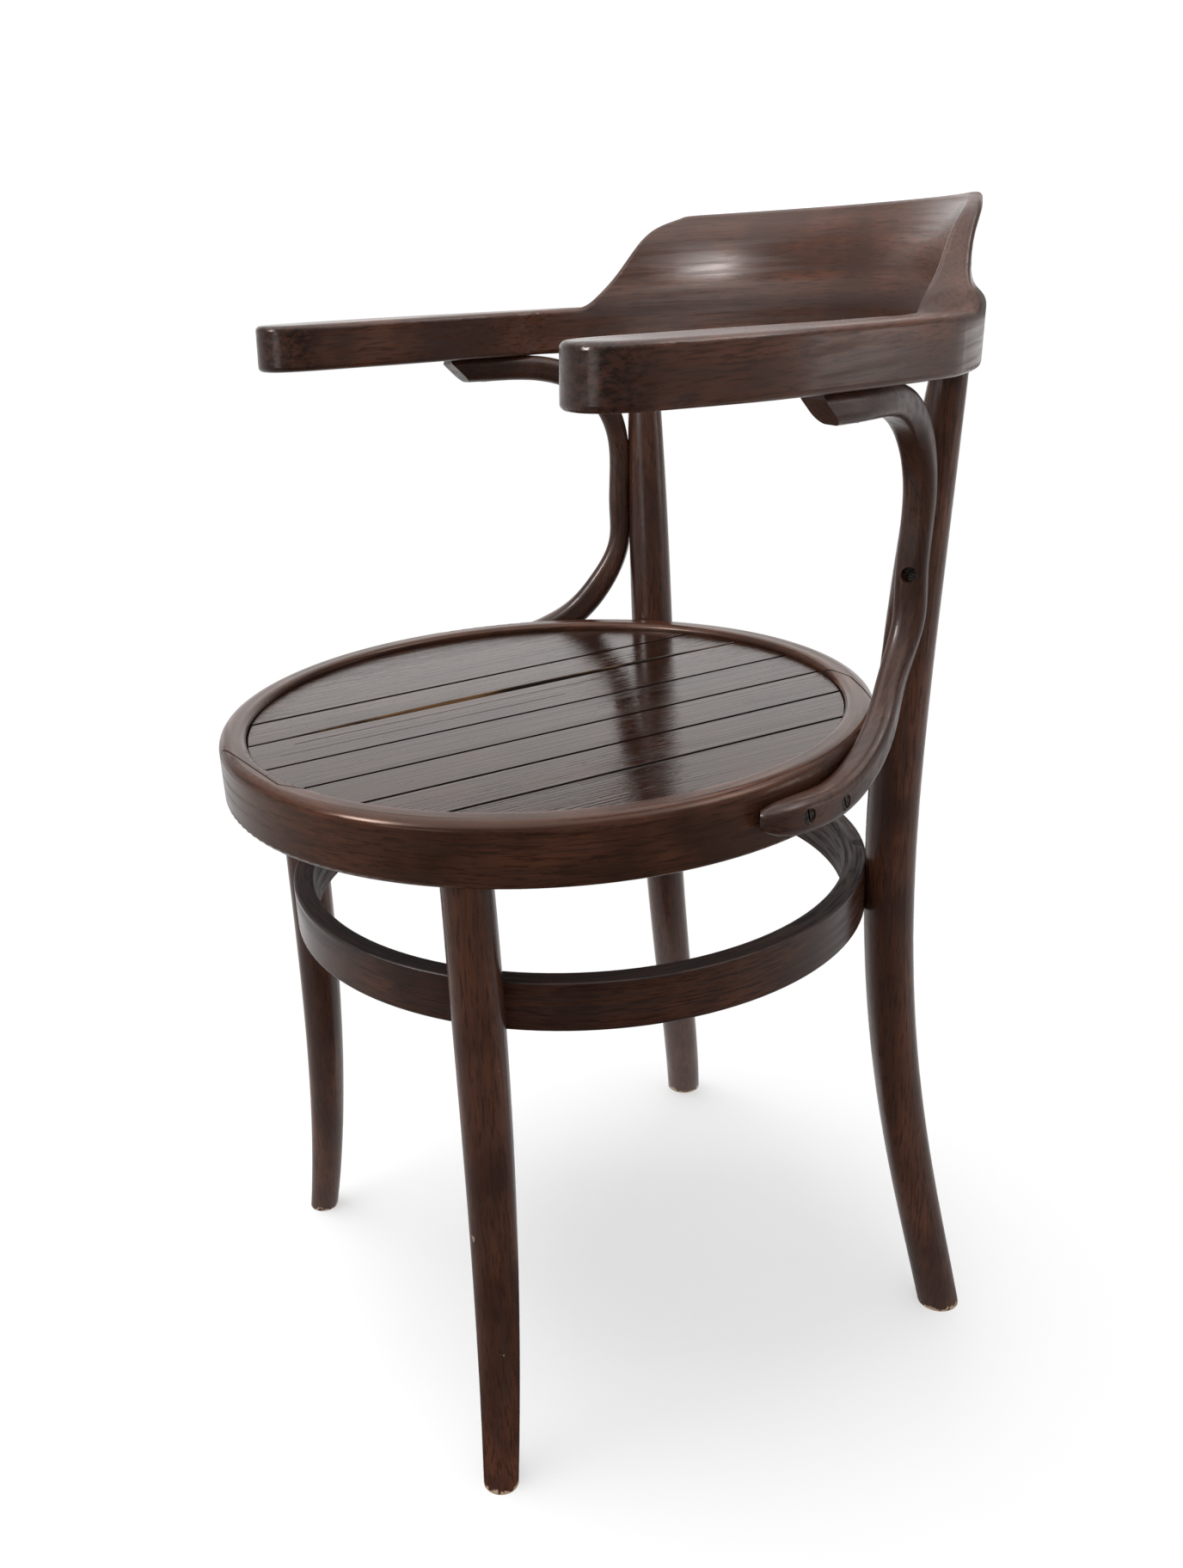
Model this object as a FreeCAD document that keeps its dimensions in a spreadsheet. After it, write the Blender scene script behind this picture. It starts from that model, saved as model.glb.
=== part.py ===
import FreeCAD, Part
import math
import os
import Sketcher
from FreeCAD import Placement, Rotation, Vector

# Bentwood armchair with a round boarded seat.
# Millimetres, +Z up, the front of the chair faces -Y and the sitter's left is +X.
# "left" and "right" in the names are the sitter's.

doc = FreeCAD.newDocument("bentwood_armchair")
sheet = doc.addObject("Spreadsheet::Sheet", "Dims")

DIMENSIONS = {
    # seat ring
    "seat_height": 460, "seat_radius": 213.5, "seat_centre_y": -28.1, "ring_height": 40, "ring_width": 27,
    "rebate_width": 9, "ring_outer_round": 7, "ring_inner_round": 4, "ring_foot_round": 3,
    "scarf_front_outer": -101, "scarf_front_inner": -52, "scarf_rear_outer": 53, "scarf_rear_inner": 77,
    "scarf_butt": 2.5,
    # seat boards
    "board_thickness": 9, "board_drop": 5, "board_play": 0.8, "board_gap": 2.8,
    "lens_gap": 5.5, "lens_radius": 2400,
    "gap_1": -89, "gap_2": -45.8, "gap_3": 4.9, "gap_4": 50, "gap_5": 93.5, "gap_6": 135.7,
    # leg hoop
    "hoop_radius": 195.7, "hoop_thickness": 13.9, "hoop_height": 32.4, "hoop_bottom": 315.4,
    "hoop_centre_y": -8, "hoop_round": 1.8,
    # legs
    "front_foot_x": 168, "front_foot_y": -172.5, "front_foot_radius": 11.4, "front_hoop_radius": 15.8,
    "front_top_radius": 15.2, "front_hoop_angle": -44.3, "front_top_angle": -40.4, "front_bow": 5.4,
    "rear_foot_x": 167.4, "rear_foot_y": 184.8, "rear_foot_radius": 14, "rear_seat_radius": 15.8,
    "rear_mid_radius": 14.2, "rear_top_radius": 10.2, "rear_hoop_angle": 48.3, "rear_seat_angle": 51,
    "rear_bow": 7.5, "rear_top_angle": 45.9, "knee_height": 130, "rear_mid_height": 560,
    "tenon_radius": 7.5, "tenon_length": 18, "notch_depth": 1,
    # arm and back rail, in its own frame tilted about the X axis
    "rail_lift": 665.6, "rail_tilt": 2.7, "rail_height": 31.5, "rail_radius": 248.5, "rail_width": 32,
    "rail_centre_y": -8.1, "back_height": 91.6, "back_top_width": 8, "back_lean": 3.5, "back_cove": 9.8,
    "rail_round": 3.5, "rise_angle": 45, "rise_start": 40, "rise_end": -62, "arm_join_angle": 31,
    "arm_reach_left": 0, "arm_reach_right": 9, "rise_shift_left": 0, "rise_shift_right": 5.5,
    # arm braces
    "brace_width": 20.5, "brace_depth": 17, "brace_arm_width": 19.5, "brace_arm_depth": 17.6,
    "brace_leg_width": 18, "brace_leg_depth": 15, "brace_corner": 6, "brace_turn": -59,
    "brace_tip_width": 10.5, "brace_tip_depth": 7, "brace_tip_angle": 5.5, "brace_tip_height": 441.5,
    # screws and nails
    "screw_radius": 2.2, "screw_head_radius": 4.6, "screw_head_depth": 2.6, "screw_slot": 1.1,
    "hole_play": 0.1, "nail_radius": 0.8, "nail_length": 15,
}
for row, (alias, number) in enumerate(DIMENSIONS.items(), start=1):
    sheet.set(f"A{row}", alias)
    sheet.set(f"B{row}", str(number))
    sheet.setAlias(f"B{row}", alias)
doc.recompute()


def value(formula):
    return float(sheet.evalExpression(formula))


def bind(obj, rules):
    for path, formula in rules.items():
        obj.setExpression(path, formula)
    return obj


def make(kind, name, rules=None, placement=None):
    obj = doc.addObject(kind, name)
    if placement is not None:
        obj.Placement = placement
    return bind(obj, rules or {})


def polar(radius, angle, centre_y=0.0, height=0.0):
    turn = math.radians(angle)
    return Vector(radius * math.cos(turn), centre_y + radius * math.sin(turn), height)


def mirrored(vector, side):
    return Vector(side * vector.x, vector.y, vector.z)


def along(point, direction):
    """Placement whose own Z axis runs along the direction."""
    return Placement(point, Rotation(Vector(0, 0, 1), direction))


def compound(name, links):
    obj = doc.addObject("Part::Compound", name)
    obj.Links = links
    return obj


def cut(name, base, tools):
    """Cut the tools away one after the other."""
    for order, tool in enumerate(tools, start=1):
        obj = doc.addObject("Part::Cut", f"{name}_cut_{order}")
        obj.Base = base
        obj.Tool = tool
        base = obj
    return base


def fuse(name, first, second):
    obj = doc.addObject("Part::Fuse", name)
    obj.Base = first
    obj.Tool = second
    return obj


def sketch_on(body, role, name):
    plane = next(item for item in body.Origin.OriginFeatures if item.Role == role)
    sketch = body.newObject("Sketcher::SketchObject", name)
    sketch.AttachmentSupport = [(plane, "")]
    sketch.MapMode = "FlatFace"
    return sketch


def closed_outline(sketch, corners):
    """Polygon whose corners are pairs of sheet formulas, every corner held by two bound constraints."""
    count = len(corners)
    points = [Vector(value(across), value(up), 0) for across, up in corners]
    for index in range(count):
        sketch.addGeometry(Part.LineSegment(points[index], points[(index + 1) % count]), False)
    for index in range(count):
        sketch.addConstraint(Sketcher.Constraint("Coincident", index, 2, (index + 1) % count, 1))
    for index, formulas in enumerate(corners):
        for kind, formula in zip(("DistanceX", "DistanceY"), formulas):
            held = sketch.addConstraint(Sketcher.Constraint(kind, -1, 1, index, 1, value(formula)))
            sketch.setExpression(f"Constraints[{held}]", formula)


def ring_edges(shape, wanted):
    """Names of the full-circle edges at the wanted (radius, height) pairs."""
    names = []
    for index, edge in enumerate(shape.Edges, start=1):
        if isinstance(edge.Curve, Part.Circle):
            spot = (edge.Curve.Radius, edge.Curve.Center.z)
            if any(math.dist(spot, place) < 0.01 for place in wanted):
                names.append(f"Edge{index}")
    return names


def turned_ring(name, corners, rounds, centre_y):
    """Body with a full revolution of the profile; rounds are (radius formula, [corner numbers])."""
    body = make("PartDesign::Body", name, {"Placement.Base.y": centre_y})
    profile = sketch_on(body, "XZ_Plane", name + "_profile")
    closed_outline(profile, corners)
    turned = body.newObject("PartDesign::Revolution", name + "_turned")
    turned.Profile = profile
    turned.ReferenceAxis = (profile, ["V_Axis"])
    turned.Angle = 360
    doc.recompute()
    last = turned
    for order, (radius, numbers) in enumerate(rounds):
        wanted = [(value(corners[number][0]), value(corners[number][1])) for number in numbers]
        rounded = body.newObject("PartDesign::Fillet", f"{name}_round_{order}")
        rounded.Base = (last, ring_edges(last.Shape, wanted))
        bind(rounded, {"Radius": radius})
        doc.recompute()
        last = rounded
    return body


nodes = []


def node(label, obj):
    obj.Label = label
    nodes.append(obj)
    return obj


SIDES = (("left", 1), ("right", -1))
SEAT_Y = value("Dims.seat_centre_y")
HOOP_Y = value("Dims.hoop_centre_y")
RAIL_FRAME = Placement(Vector(0, value("Dims.rail_centre_y"), value("Dims.rail_lift")),
                       Rotation(Vector(1, 0, 0), -value("Dims.rail_tilt")))
RING_FOOT = "Dims.seat_height - Dims.ring_height"
LEDGE = "Dims.seat_height - Dims.board_drop - Dims.board_thickness"
RING_LIP = "Dims.seat_radius - Dims.ring_width + Dims.rebate_width"
RING_BORE = "Dims.seat_radius - Dims.ring_width"
HOOP_MIDDLE = "Dims.hoop_bottom + Dims.hoop_height / 2"


# Screws, each with the matching hole that is cut into the wood
class Screws:
    def __init__(self, label):
        self.label = label
        self.parts = []

    def add(self, head, direction, length):
        """One slotted screw with its head face at the point; returns the tool for its hole."""
        name = f"{self.label}_{len(self.parts) + 1}"
        place = along(head, direction)
        under_head = along(head + direction * value("Dims.screw_head_depth"), direction)
        shank_length = f"{length} - Dims.screw_head_depth"
        cone = make("Part::Cone", name + "_head", {
            "Radius1": "Dims.screw_head_radius", "Radius2": "Dims.screw_radius",
            "Height": "Dims.screw_head_depth"}, place)
        shank = make("Part::Cylinder", name + "_shank", {
            "Radius": "Dims.screw_radius", "Height": shank_length}, under_head)
        slot = make("Part::Box", name + "_slot", {
            "Length": "2.2 * Dims.screw_head_radius", "Width": "Dims.screw_slot", "Height": "1.3"})
        half = Vector(-1.1 * value("Dims.screw_head_radius"), -0.5 * value("Dims.screw_slot"), -0.1)
        slot.Placement = place.multiply(Placement(half, Rotation(Vector(0, 0, 1), 0)))
        self.parts.append(cut(name, fuse(name + "_blank", cone, shank), [slot]))
        hole_head = make("Part::Cone", name + "_hole_head", {
            "Radius1": "Dims.screw_head_radius + Dims.hole_play",
            "Radius2": "Dims.screw_radius + Dims.hole_play", "Height": "Dims.screw_head_depth"}, place)
        hole_shank = make("Part::Cylinder", name + "_hole_shank", {
            "Radius": "Dims.screw_radius + Dims.hole_play",
            "Height": shank_length + " + Dims.hole_play"}, under_head)
        hole_mouth = make("Part::Cylinder", name + "_hole_mouth", {
            "Radius": "Dims.screw_head_radius + Dims.hole_play",
            "Height": "6"}, along(head - direction * 6, direction))
        return fuse(name + "_hole", fuse(name + "_bore", hole_head, hole_shank), hole_mouth)

    def done(self):
        return node(self.label, compound(self.label, self.parts))


ring_screws = Screws("brace_ring_screws")
post_screws = Screws("brace_post_screws")
arm_screws = Screws("brace_arm_screws")
hoop_screws = Screws("hoop_screws")
leg_screws = Screws("rear_leg_screws")


# Rear legs: one bent piece from the floor, past the hoop and the seat ring, into the rail
def leg_station(name, side, spot, height, radius):
    across, back = spot
    return make("Part::Circle", name, {
        "Radius": radius, "Placement.Base.x": f"{side} * ({across})",
        "Placement.Base.y": back, "Placement.Base.z": height})


def polar_formula(radius, angle, centre_y):
    return f"({radius}) * cos({angle})", f"{centre_y} + ({radius}) * sin({angle})"


def between(first, second, share, bow):
    return tuple(f"({a}) + (({b}) - ({a})) * {share} - ({shift})"
                 for a, b, shift in zip(first, second, bow))


def tenon(name, radius, length, place):
    return make("Part::Cylinder", name, {"Radius": radius, "Height": length}, place)


def leg_blank(name, side, stations, top, top_radius):
    """Loft through level sections up to the top joint, with a round tenon beyond it."""
    sections = []
    for order, (spot, height, radius) in enumerate(stations):
        sections.append(leg_station(f"{name}_section_{order}", side, spot, height, radius))
    sections.append(make("Part::Circle", name + "_top", {"Radius": top_radius}, top))
    shaft = doc.addObject("Part::Loft", name + "_shaft")
    shaft.Sections = sections
    shaft.Solid = True
    peg = tenon(name + "_tenon", "Dims.tenon_radius", "Dims.tenon_length", top)
    return fuse(name + "_blank", shaft, peg)


def mortise(name, place):
    return tenon(name, "Dims.tenon_radius + Dims.hole_play", "Dims.tenon_length + 0.5", place)


def housing(name, radius, centre_y, bottom, height):
    """Cylinder that lets a leg sit against the outside of a bent ring."""
    return make("Part::Cylinder", name, {
        "Radius": radius, "Height": height, "Placement.Base.y": centre_y, "Placement.Base.z": bottom})


rear_foot = ("Dims.rear_foot_x", "Dims.rear_foot_y")
rear_hoop = polar_formula("Dims.hoop_radius + Dims.rear_seat_radius - Dims.notch_depth",
                          "Dims.rear_hoop_angle", "Dims.hoop_centre_y")
rear_seat = polar_formula("Dims.seat_radius + Dims.rear_seat_radius - Dims.notch_depth",
                          "Dims.rear_seat_angle", "Dims.seat_centre_y")
RAIL_MIDDLE = "Dims.rail_radius - Dims.rail_width / 2"
rear_top = polar_formula(RAIL_MIDDLE, "Dims.rear_top_angle", "Dims.rail_centre_y")
RAIL_AT_LEG = f"Dims.rail_lift - tan(Dims.rail_tilt) * ({RAIL_MIDDLE}) * sin(Dims.rear_top_angle)"
KNEE_SHARE = f"(Dims.knee_height / ({HOOP_MIDDLE}))"
rear_knee = between(rear_foot, rear_hoop, KNEE_SHARE, ("Dims.rear_bow", "Dims.rear_bow * 0.65"))
SEAT_JOINT = "Dims.seat_height - Dims.ring_height / 2"
MIDDLE_SHARE = f"((Dims.rear_mid_height - ({SEAT_JOINT})) / ({RAIL_AT_LEG} - ({SEAT_JOINT})))"
rear_mid = between(rear_seat, rear_top, MIDDLE_SHARE, ("1.2", "1.3"))
front_foot = ("Dims.front_foot_x", "Dims.front_foot_y")
front_hoop = polar_formula("Dims.hoop_radius + Dims.front_hoop_radius - Dims.notch_depth",
                           "Dims.front_hoop_angle", "Dims.hoop_centre_y")
front_knee = between(front_foot, front_hoop, KNEE_SHARE, ("Dims.front_bow", "-Dims.front_bow"))

HOOP_HOUSING = ("Dims.hoop_radius", "Dims.hoop_centre_y", "Dims.hoop_bottom - 0.5", "Dims.hoop_height + 1")
RING_HOUSING = ("Dims.seat_radius", "Dims.seat_centre_y", RING_FOOT + " - 0.5", "Dims.ring_height + 1")

hoop_holes = []
ring_holes = {"left": [], "right": []}
rail_holes = []
rear_legs = {}
for word, side in SIDES:
    name = f"rear_leg_{word}"
    stations = [
        (rear_foot, "0", "Dims.rear_foot_radius"),
        (rear_knee, "Dims.knee_height", "(Dims.rear_foot_radius + Dims.rear_seat_radius) / 2"),
        (rear_hoop, HOOP_MIDDLE, "Dims.rear_seat_radius"),
        (rear_seat, SEAT_JOINT, "Dims.rear_seat_radius"),
        (rear_mid, "Dims.rear_mid_height", "Dims.rear_mid_radius"),
    ]
    spot = polar(value(RAIL_MIDDLE), value("Dims.rear_top_angle"))
    top = RAIL_FRAME.multiply(Placement(mirrored(spot, side), Rotation()))
    blank = leg_blank(name, side, stations, top, "Dims.rear_top_radius")
    hoop_turn = mirrored(polar(1, value("Dims.rear_hoop_angle")), side)
    hoop_inner = value("Dims.hoop_radius - Dims.hoop_thickness")
    hoop_head = Vector(hoop_inner * hoop_turn.x, HOOP_Y + hoop_inner * hoop_turn.y, value(HOOP_MIDDLE))
    hoop_hole = hoop_screws.add(hoop_head + hoop_turn * 0.3, hoop_turn, 30)
    hoop_holes.append(hoop_hole)
    seat_turn = mirrored(polar(1, value("Dims.rear_seat_angle")), side)
    bore = value(RING_BORE)
    leg_head = Vector(bore * seat_turn.x, SEAT_Y + bore * seat_turn.y, value(RING_FOOT) + 13)
    leg_hole = leg_screws.add(leg_head + seat_turn * 0.3, seat_turn, 46)
    ring_holes[word].append(leg_hole)
    rail_holes.append(mortise(name + "_mortise", top))
    rear_legs[word] = (blank, [housing(name + "_hoop_housing", *HOOP_HOUSING),
                               housing(name + "_ring_housing", *RING_HOUSING), hoop_hole, leg_hole])

# Front legs: round, tapered, bowed, tenoned into the underside of the seat ring
for word, side in SIDES:
    name = f"front_leg_{word}"
    stations = [
        (front_foot, "0", "Dims.front_foot_radius"),
        (front_knee, "Dims.knee_height", "(2 * Dims.front_foot_radius + 3 * Dims.front_hoop_radius) / 5"),
        (front_hoop, HOOP_MIDDLE, "Dims.front_hoop_radius"),
    ]
    spot = polar(value("Dims.seat_radius") - 17.5, value("Dims.front_top_angle"), SEAT_Y, value(RING_FOOT))
    top = Placement(mirrored(spot, side), Rotation())
    blank = leg_blank(name, side, stations, top, "Dims.front_top_radius")
    hoop_turn = mirrored(polar(1, value("Dims.front_hoop_angle")), side)
    hoop_inner = value("Dims.hoop_radius - Dims.hoop_thickness")
    hoop_head = Vector(hoop_inner * hoop_turn.x, HOOP_Y + hoop_inner * hoop_turn.y, value(HOOP_MIDDLE))
    hoop_hole = hoop_screws.add(hoop_head + hoop_turn * 0.3, hoop_turn, 30)
    hoop_holes.append(hoop_hole)
    ring_holes[word].append(mortise(name + "_mortise", top))
    node(name, cut(name, blank, [housing(name + "_hoop_housing", *HOOP_HOUSING), hoop_hole]))

# Leg hoop: one flat bent strip that ties the four legs together
HOOP_BORE = "Dims.hoop_radius - Dims.hoop_thickness"
HOOP_TOP = "Dims.hoop_bottom + Dims.hoop_height"
hoop = turned_ring("leg_hoop_strip", [
    ("Dims.hoop_radius", "Dims.hoop_bottom"), ("Dims.hoop_radius", HOOP_TOP),
    (HOOP_BORE, HOOP_TOP), (HOOP_BORE, "Dims.hoop_bottom")],
    [("Dims.hoop_round", [0, 1, 2, 3])], "Dims.hoop_centre_y")
node("leg_hoop", cut("leg_hoop", hoop, hoop_holes))

# Seat boards: parallel boards in the rebate of the ring, open gaps between them
gap_lines = [f"Dims.gap_{number}" for number in range(1, 7)]
board_edges = ["-Dims.seat_radius"] + gap_lines + ["Dims.seat_radius"]
for number in range(7):
    name = f"seat_board_{number + 1}"
    low = f"{board_edges[number]} + Dims.board_gap / 2"
    high = f"{board_edges[number + 1]} - Dims.board_gap / 2"
    disc = make("Part::Cylinder", name + "_disc", {
        "Radius": f"{RING_LIP} - Dims.board_play", "Height": "Dims.board_thickness",
        "Placement.Base.y": "Dims.seat_centre_y", "Placement.Base.z": LEDGE})
    strip = make("Part::Box", name + "_strip", {
        "Length": f"({high}) - ({low})", "Width": "2 * Dims.seat_radius", "Height": "Dims.board_thickness",
        "Placement.Base.x": low, "Placement.Base.y": "Dims.seat_centre_y - Dims.seat_radius",
        "Placement.Base.z": LEDGE})
    board = doc.addObject("Part::Common", name + "_plank")
    board.Base = disc
    board.Tool = strip
    if number == 1:
        lens = make("Part::Cylinder", name + "_lens", {
            "Radius": "Dims.lens_radius", "Height": "Dims.board_thickness",
            "Placement.Base.x": f"{high} - Dims.lens_gap + Dims.lens_radius",
            "Placement.Base.y": "Dims.seat_centre_y", "Placement.Base.z": LEDGE})
        board = cut(name + "_shrunk", board, [lens])
    node(name, board)


# Arm and back rail: one bent piece, a turned back with a flared top and two flat arms
# Arm outline in the rail frame: the outer edge from the back, the rounded end, then the inner edge
ARM_PLAN = [
    (221, 107.5), (229.5, 75), (237.3, 38), (244, 4), (246.5, -28), (245.5, -60),
    (241.5, -90), (231, -104), (216, -107.5), (201.5, -102.5), (193.5, -89),
    (191.3, -62), (191.3, -25), (193.3, 20), (194.3, 55), (191.5, 88),
]
RAIL_INNER = "Dims.rail_radius - Dims.rail_width"
outer, inner = value("Dims.rail_radius"), value(RAIL_INNER)
low, high = value("Dims.rail_height"), value("Dims.back_height")


def smooth(points, first, last):
    curve = Part.BSplineCurve()
    curve.interpolate(Points=points, InitialTangent=first, FinalTangent=last)
    return curve


def add_lines(sketch, points):
    for start, end in zip(points, points[1:]):
        sketch.addGeometry(Part.LineSegment(start, end), False)


rail = make("PartDesign::Body", "rail_blank", {
    "Placement.Base.y": "Dims.rail_centre_y", "Placement.Base.z": "Dims.rail_lift"}, RAIL_FRAME)
for word, side in SIDES:
    join = value("Dims.arm_join_angle")
    stretch = 1 + value(f"Dims.arm_reach_{word}") / 100
    plan_points = [Vector(across, back * stretch if back < 0 else back, 0) for across, back in ARM_PLAN]
    points = [polar(outer, join)] + plan_points + [polar(inner, join)]
    points = [mirrored(point, side) for point in points]
    forward = mirrored(polar(1, join - 90), side)
    plan = sketch_on(rail, "XY_Plane", f"arm_plan_{word}")
    plan.addGeometry(smooth(points, forward * 40, forward * -40), False)
    add_lines(plan, [points[-1], points[0]])
    arm = rail.newObject("PartDesign::Pad", f"arm_{word}")
    arm.Profile = plan
    bind(arm, {"Length": "Dims.rail_height"})
    doc.recompute()

back = sketch_on(rail, "YZ_Plane", "back_profile")
rise = high - low
crest = outer - value("Dims.back_lean")
cove = value("Dims.back_cove")
outside = [Vector(outer, low, 0), Vector(outer - 0.7 * cove, low + 0.2 * rise, 0),
           Vector(outer - cove, low + 0.45 * rise, 0), Vector(crest, high, 0)]
lean_in = crest - value("Dims.back_top_width") - inner
inside = [Vector(inner + share * lean_in, low + lift * rise, 0)
          for share, lift in ((1, 1), (0.68, 0.8), (0.41, 0.55), (0.19, 0.25), (0, 0))]
back.addGeometry(smooth(outside, Vector(0, 1, 0), Vector(0.3, 1, 0)), False)
back.addGeometry(smooth(inside, Vector(-0.5, -1, 0), Vector(0, -1, 0)), False)
add_lines(back, [outside[-1], inside[0]])
add_lines(back, [inside[-1], Vector(inner, 0, 0), Vector(outer, 0, 0), outside[0]])
turned_back = rail.newObject("PartDesign::Revolution", "turned_back")
turned_back.Profile = back
turned_back.ReferenceAxis = (back, ["V_Axis"])
turned_back.Midplane = True
bind(turned_back, {"Angle": "180 - 2 * Dims.arm_join_angle"})
doc.recompute()

# The rise from the arm to the back is an S-shaped cut square to the bent wall
RISE = ((0, 0), (0.17, 0.135), (0.3, 0.38), (0.42, 0.66), (0.55, 0.87), (0.72, 0.97), (1, 1))
far_u = outer + 10
rising = turned_back
for word, side in SIDES:
    risen = sketch_on(rail, "XZ_Plane", f"rise_outline_{word}")
    aside = Rotation(Vector(0, 1, 0), -side * value("Dims.rise_angle"))
    risen.AttachmentOffset = Placement(Vector(), aside)
    start_u = value(f"Dims.rise_start + Dims.rise_shift_{word}")
    end_u = value(f"Dims.rise_end + Dims.rise_shift_{word}")
    s_points = []
    for share, lift in RISE:
        s_points.append(Vector(side * (start_u + (end_u - start_u) * share), low + rise * lift, 0))
    level = Vector(-side * 20, 0, 0)
    whole = smooth(s_points, level, level)
    first, last = whole.FirstParameter, whole.LastParameter
    for part in range(6):
        piece = whole.copy()
        piece.segment(first + (last - first) * part / 6, first + (last - first) * (part + 1) / 6)
        risen.addGeometry(piece, False)
    add_lines(risen, [s_points[-1], Vector(side * end_u, high + 20, 0), Vector(side * far_u, high + 20, 0),
                      Vector(side * far_u, low, 0), s_points[0]])
    rising = rail.newObject("PartDesign::Pocket", f"rising_cut_{word}")
    rising.Profile = risen
    rising.Type = 1
    doc.recompute()


def border_edges(shape):
    """Edges round the upper surface of the rail and round its underside."""
    upper, under = [], []
    for face in shape.Faces:
        low_u, high_u, low_v, high_v = face.ParameterRange
        normal = face.normalAt((low_u + high_u) / 2, (low_v + high_v) / 2)
        if normal.z < -0.99:
            under.append(face)
        elif normal.z > 0.05 and isinstance(face.Surface, (Part.Plane, Part.SurfaceOfExtrusion)):
            upper.append(face)
    names = []
    for index, edge in enumerate(shape.Edges, start=1):
        for faces in (upper, under):
            uses = sum(1 for face in faces for other in face.Edges if other.isSame(edge))
            if uses == 1:
                names.append(f"Edge{index}")
    return names


eased = rail.newObject("PartDesign::Fillet", "rail_eased")
eased.Base = (rising, border_edges(rising.Shape))
bind(eased, {"Radius": "Dims.rail_round"})
doc.recompute()


# Arm braces: bent strips under the arm, along the rear leg and forward on the seat ring
def blend(first, second, share):
    return tuple(a + (b - a) * share for a, b in zip(first, second))


def brace_path(side):
    """Stations of the strip: centre, direction of the bearing face, then width and depth there."""
    arm_size = (value("Dims.brace_arm_width"), value("Dims.brace_arm_depth"))
    leg_size = (value("Dims.brace_leg_width"), value("Dims.brace_leg_depth"))
    ring_size = (value("Dims.brace_width"), value("Dims.brace_depth"))
    tip_size = (value("Dims.brace_tip_width"), value("Dims.brace_tip_depth"))
    turn = value("Dims.brace_turn")
    to_leg = polar(-1, turn)
    up = RAIL_FRAME.Rotation.multVec(Vector(0, 0, 1))
    seat = Vector(value(rear_seat[0]), value(rear_seat[1]), value(SEAT_JOINT))
    middle = Vector(value(rear_mid[0]), value(rear_mid[1]), value("Dims.rear_mid_height"))
    top = Vector(value(rear_top[0]), value(rear_top[1]), value(RAIL_AT_LEG))

    def under_arm(radius, angle):
        return RAIL_FRAME.multVec(polar(radius, angle, 0, -arm_size[1] / 2))

    def beside_leg(height, gap, angle):
        low_end, high_end = (middle, top) if height > middle.z else (seat, middle)
        share = (height - low_end.z) / (high_end.z - low_end.z)
        radius = value("Dims.rear_mid_radius")
        if height > middle.z:
            radius += (value("Dims.rear_top_radius") - radius) * share
        return low_end + (high_end - low_end) * share + polar(radius + leg_size[1] / 2 + gap, angle)

    def on_ring(angle, height, gap, size):
        reach = value("Dims.seat_radius") + size[1] / 2 + gap
        return polar(reach, angle, SEAT_Y, height), polar(-1, angle), size

    turn_start = under_arm(219, 22)
    turn_end = beside_leg(592, 0.5, turn)
    path = [(under_arm(219.5, 7.9), up, arm_size), (under_arm(220, 15.5), up, arm_size),
            (turn_start, up, arm_size)]
    for step in (30, 60):
        ahead, drop = math.sin(math.radians(step)), 1 - math.cos(math.radians(step))
        point = turn_start + (turn_end - turn_start) * ahead
        point.z = turn_start.z + (turn_end.z - turn_start.z) * drop
        path.append((point, to_leg * ahead + up * (1 - drop), blend(arm_size, leg_size, drop)))
    path.append((turn_end, to_leg, leg_size))
    path.append((beside_leg(546, 0.3, turn + 6), polar(-1, turn + 6), leg_size))
    path.append((beside_leg(518, 1.5, turn + 10), polar(-1, turn + 10), blend(leg_size, ring_size, 0.1)))
    for angle, height, gap, share in ((41, 486, 3.5, 0.35), (36.3, 465, 1.5, 0.7), (27.5, 446, 0, 1),
                                      (19.5, 439, 0, 1), (11.7, 439.5, 0, 1)):
        path.append(on_ring(angle, height, gap, blend(leg_size, ring_size, share)))
    tip_angle, tip_height = value("Dims.brace_tip_angle"), value("Dims.brace_tip_height")
    path.append(on_ring(tip_angle + 3.2, tip_height - 1.2, 0, blend(tip_size, ring_size, 0.85)))
    path.append(on_ring(tip_angle + 1.1, tip_height - 0.4, 0, blend(tip_size, ring_size, 0.5)))
    path.append(on_ring(tip_angle, tip_height, 0, tip_size))
    return [(mirrored(point, side), mirrored(bearing, side), size) for point, bearing, size in path]


def rounded_section(centre, across, bearing, width, depth, corner):
    """Closed rounded rectangle round the centre."""
    corner = min(corner, 0.45 * width, 0.45 * depth)
    a, b = width / 2, depth / 2
    k = corner * (1 - math.sqrt(0.5))
    spots = [(-a + corner, -b), (a - corner, -b), (a - k, -b + k),
             (a, -b + corner), (a, b - corner), (a - k, b - k),
             (a - corner, b), (-a + corner, b), (-a + k, b - k),
             (-a, b - corner), (-a, -b + corner), (-a + k, -b + k)]
    points = [centre + across * u + bearing * v for u, v in spots]
    edges = []
    for start in range(0, 12, 3):
        edges.append(Part.LineSegment(points[start], points[start + 1]).toShape())
        edges.append(Part.Arc(points[start + 1], points[start + 2], points[(start + 3) % 12]).toShape())
    return Part.Wire(edges)


def brace_shape(side):
    path = brace_path(side)
    curve = Part.BSplineCurve()
    curve.interpolate([point for point, _, _ in path])
    sections = []
    for point, bearing, (width, depth) in path:
        tangent = curve.tangent(curve.parameter(point))[0]
        face = bearing - tangent * bearing.dot(tangent)
        face.normalize()
        corner = value("Dims.brace_corner")
        sections.append(rounded_section(point, tangent.cross(face), face, width, depth, corner))
    return Part.makeLoft(sections, True, False)


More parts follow.
